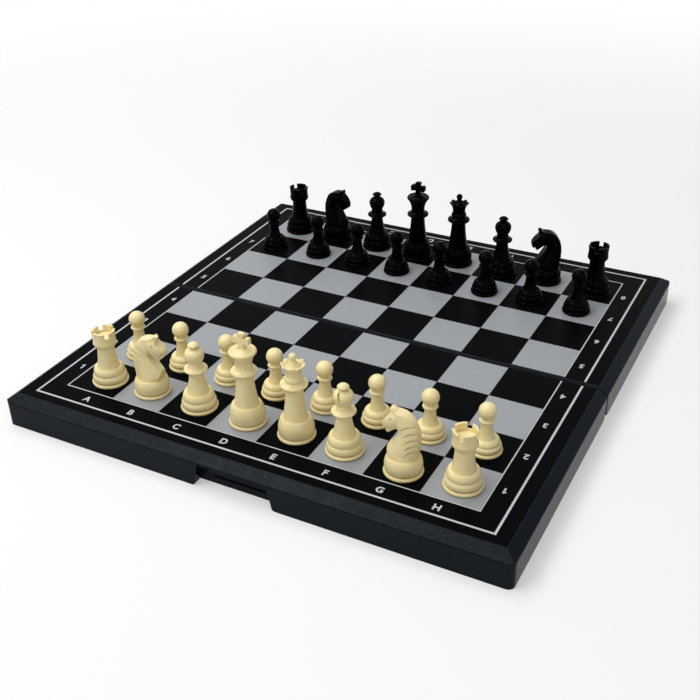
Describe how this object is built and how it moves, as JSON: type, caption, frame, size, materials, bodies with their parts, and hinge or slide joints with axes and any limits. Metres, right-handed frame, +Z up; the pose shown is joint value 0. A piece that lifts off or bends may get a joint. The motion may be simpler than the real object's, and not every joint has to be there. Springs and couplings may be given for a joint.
{
  "type": "folding magnetic chess set",
  "caption": "Folding magnetic travel chess set, opened flat: two black half cases hinged in the middle carry a silver and black board with ivory and black turned pieces set up on it.",
  "frame": {"origin": "middle of the open board, on the plane it lies on", "axes": "+X along the seam towards the h-file, +Y across the seam towards black's side, +Z up"},
  "size_m": [0.25, 0.2508, 0.0614],
  "materials": {
    "case_plastic": "fine satin grain",
    "panel_print": "smooth satin print",
    "silver_foil": "satin silver print",
    "sheet_steel": "bare sheet",
    "pin_steel": "drawn wire",
    "hinge_plastic": "fine satin grain",
    "ivory_plastic": "semi-gloss moulding",
    "black_gloss_plastic": "semi-gloss moulding"
  },
  "bodies": {
    "front_half": {"front_case": "case_plastic", "front_panel": "panel_print", "front_steel_sheet": "sheet_steel", "front_silver_squares": "silver_foil", "front_silver_lines": "silver_foil", "front_hinge_pins": "pin_steel"},
    "hinge_links": {"hinge_link_left": "hinge_plastic", "hinge_link_right": "hinge_plastic"},
    "rear_half": {"rear_case": "case_plastic", "rear_panel": "panel_print", "rear_steel_sheet": "sheet_steel", "rear_silver_squares": "silver_foil", "rear_silver_lines": "silver_foil", "rear_hinge_pins": "pin_steel", "latch_pin": "pin_steel"},
    "latch": {"latch_flap": "hinge_plastic"},
    "black_bishop_c": {"black_bishop_c": "black_gloss_plastic"},
    "black_bishop_f": {"black_bishop_f": "black_gloss_plastic"},
    "black_king": {"black_king": "black_gloss_plastic"},
    "black_knight_b": {"black_knight_b": "black_gloss_plastic"},
    "black_knight_g": {"black_knight_g": "black_gloss_plastic"},
    "black_pawn_a": {"black_pawn_a": "black_gloss_plastic"},
    "black_pawn_b": {"black_pawn_b": "black_gloss_plastic"},
    "black_pawn_c": {"black_pawn_c": "black_gloss_plastic"},
    "black_pawn_d": {"black_pawn_d": "black_gloss_plastic"},
    "black_pawn_e": {"black_pawn_e": "black_gloss_plastic"},
    "black_pawn_f": {"black_pawn_f": "black_gloss_plastic"},
    "black_pawn_g": {"black_pawn_g": "black_gloss_plastic"},
    "black_pawn_h": {"black_pawn_h": "black_gloss_plastic"},
    "black_queen": {"black_queen": "black_gloss_plastic"},
    "black_rook_a": {"black_rook_a": "black_gloss_plastic"},
    "black_rook_h": {"black_rook_h": "black_gloss_plastic"},
    "white_bishop_c": {"white_bishop_c": "ivory_plastic"},
    "white_bishop_f": {"white_bishop_f": "ivory_plastic"},
    "white_king": {"white_king": "ivory_plastic"},
    "white_knight_b": {"white_knight_b": "ivory_plastic"},
    "white_knight_g": {"white_knight_g": "ivory_plastic"},
    "white_pawn_a": {"white_pawn_a": "ivory_plastic"},
    "white_pawn_b": {"white_pawn_b": "ivory_plastic"},
    "white_pawn_c": {"white_pawn_c": "ivory_plastic"},
    "white_pawn_d": {"white_pawn_d": "ivory_plastic"},
    "white_pawn_e": {"white_pawn_e": "ivory_plastic"},
    "white_pawn_f": {"white_pawn_f": "ivory_plastic"},
    "white_pawn_g": {"white_pawn_g": "ivory_plastic"},
    "white_pawn_h": {"white_pawn_h": "ivory_plastic"},
    "white_queen": {"white_queen": "ivory_plastic"},
    "white_rook_a": {"white_rook_a": "ivory_plastic"},
    "white_rook_h": {"white_rook_h": "ivory_plastic"}
  },
  "joints": [
    {"name": "fold", "type": "hinge", "parent": "hinge_links", "child": "rear_half", "pos_m": [0, 0.004, 0.0038], "axis": [-1, 0, 0], "range_deg": [0, 90]},
    {"name": "fold_link", "type": "hinge", "parent": "front_half", "child": "hinge_links", "pos_m": [0, -0.004, 0.0038], "axis": [-1, 0, 0], "range_deg": [0, 90]},
    {"name": "latch_swing", "type": "hinge", "parent": "rear_half", "child": "latch", "pos_m": [0, 0.12196, 0.0024], "axis": [-1, 0, 0], "range_deg": [0, 180]},
    {"name": "lift_black_king", "type": "slide", "parent": "rear_half", "child": "black_king", "axis": [0, 0, 1], "range_m": [0, 0.06]},
    {"name": "lift_white_king", "type": "slide", "parent": "front_half", "child": "white_king", "axis": [0, 0, 1], "range_m": [0, 0.06]},
    {"name": "lift_black_queen", "type": "slide", "parent": "rear_half", "child": "black_queen", "axis": [0, 0, 1], "range_m": [0, 0.06]},
    {"name": "lift_white_queen", "type": "slide", "parent": "front_half", "child": "white_queen", "axis": [0, 0, 1], "range_m": [0, 0.06]},
    {"name": "lift_black_rook_a", "type": "slide", "parent": "rear_half", "child": "black_rook_a", "axis": [0, 0, 1], "range_m": [0, 0.06]},
    {"name": "lift_black_rook_h", "type": "slide", "parent": "rear_half", "child": "black_rook_h", "axis": [0, 0, 1], "range_m": [0, 0.06]},
    {"name": "lift_white_rook_a", "type": "slide", "parent": "front_half", "child": "white_rook_a", "axis": [0, 0, 1], "range_m": [0, 0.06]},
    {"name": "lift_white_rook_h", "type": "slide", "parent": "front_half", "child": "white_rook_h", "axis": [0, 0, 1], "range_m": [0, 0.06]},
    {"name": "lift_black_bishop_c", "type": "slide", "parent": "rear_half", "child": "black_bishop_c", "axis": [0, 0, 1], "range_m": [0, 0.06]},
    {"name": "lift_black_bishop_f", "type": "slide", "parent": "rear_half", "child": "black_bishop_f", "axis": [0, 0, 1], "range_m": [0, 0.06]},
    {"name": "lift_white_bishop_c", "type": "slide", "parent": "front_half", "child": "white_bishop_c", "axis": [0, 0, 1], "range_m": [0, 0.06]},
    {"name": "lift_white_bishop_f", "type": "slide", "parent": "front_half", "child": "white_bishop_f", "axis": [0, 0, 1], "range_m": [0, 0.06]},
    {"name": "lift_black_knight_b", "type": "slide", "parent": "rear_half", "child": "black_knight_b", "axis": [0, 0, 1], "range_m": [0, 0.06]},
    {"name": "lift_black_knight_g", "type": "slide", "parent": "rear_half", "child": "black_knight_g", "axis": [0, 0, 1], "range_m": [0, 0.06]},
    {"name": "lift_white_knight_b", "type": "slide", "parent": "front_half", "child": "white_knight_b", "axis": [0, 0, 1], "range_m": [0, 0.06]},
    {"name": "lift_white_knight_g", "type": "slide", "parent": "front_half", "child": "white_knight_g", "axis": [0, 0, 1], "range_m": [0, 0.06]},
    {"name": "lift_black_pawn_a", "type": "slide", "parent": "rear_half", "child": "black_pawn_a", "axis": [0, 0, 1], "range_m": [0, 0.06]},
    {"name": "lift_black_pawn_b", "type": "slide", "parent": "rear_half", "child": "black_pawn_b", "axis": [0, 0, 1], "range_m": [0, 0.06]},
    {"name": "lift_black_pawn_c", "type": "slide", "parent": "rear_half", "child": "black_pawn_c", "axis": [0, 0, 1], "range_m": [0, 0.06]},
    {"name": "lift_black_pawn_d", "type": "slide", "parent": "rear_half", "child": "black_pawn_d", "axis": [0, 0, 1], "range_m": [0, 0.06]},
    {"name": "lift_black_pawn_e", "type": "slide", "parent": "rear_half", "child": "black_pawn_e", "axis": [0, 0, 1], "range_m": [0, 0.06]},
    {"name": "lift_black_pawn_f", "type": "slide", "parent": "rear_half", "child": "black_pawn_f", "axis": [0, 0, 1], "range_m": [0, 0.06]},
    {"name": "lift_black_pawn_g", "type": "slide", "parent": "rear_half", "child": "black_pawn_g", "axis": [0, 0, 1], "range_m": [0, 0.06]},
    {"name": "lift_black_pawn_h", "type": "slide", "parent": "rear_half", "child": "black_pawn_h", "axis": [0, 0, 1], "range_m": [0, 0.06]},
    {"name": "lift_white_pawn_a", "type": "slide", "parent": "front_half", "child": "white_pawn_a", "axis": [0, 0, 1], "range_m": [0, 0.06]},
    {"name": "lift_white_pawn_b", "type": "slide", "parent": "front_half", "child": "white_pawn_b", "axis": [0, 0, 1], "range_m": [0, 0.06]},
    {"name": "lift_white_pawn_c", "type": "slide", "parent": "front_half", "child": "white_pawn_c", "axis": [0, 0, 1], "range_m": [0, 0.06]},
    {"name": "lift_white_pawn_d", "type": "slide", "parent": "front_half", "child": "white_pawn_d", "axis": [0, 0, 1], "range_m": [0, 0.06]},
    {"name": "lift_white_pawn_e", "type": "slide", "parent": "front_half", "child": "white_pawn_e", "axis": [0, 0, 1], "range_m": [0, 0.06]},
    {"name": "lift_white_pawn_f", "type": "slide", "parent": "front_half", "child": "white_pawn_f", "axis": [0, 0, 1], "range_m": [0, 0.06]},
    {"name": "lift_white_pawn_g", "type": "slide", "parent": "front_half", "child": "white_pawn_g", "axis": [0, 0, 1], "range_m": [0, 0.06]},
    {"name": "lift_white_pawn_h", "type": "slide", "parent": "front_half", "child": "white_pawn_h", "axis": [0, 0, 1], "range_m": [0, 0.06]}
  ],
  "couplings": [
    {"joint": "fold_link", "follows": "fold", "ratio": 1}
  ]
}
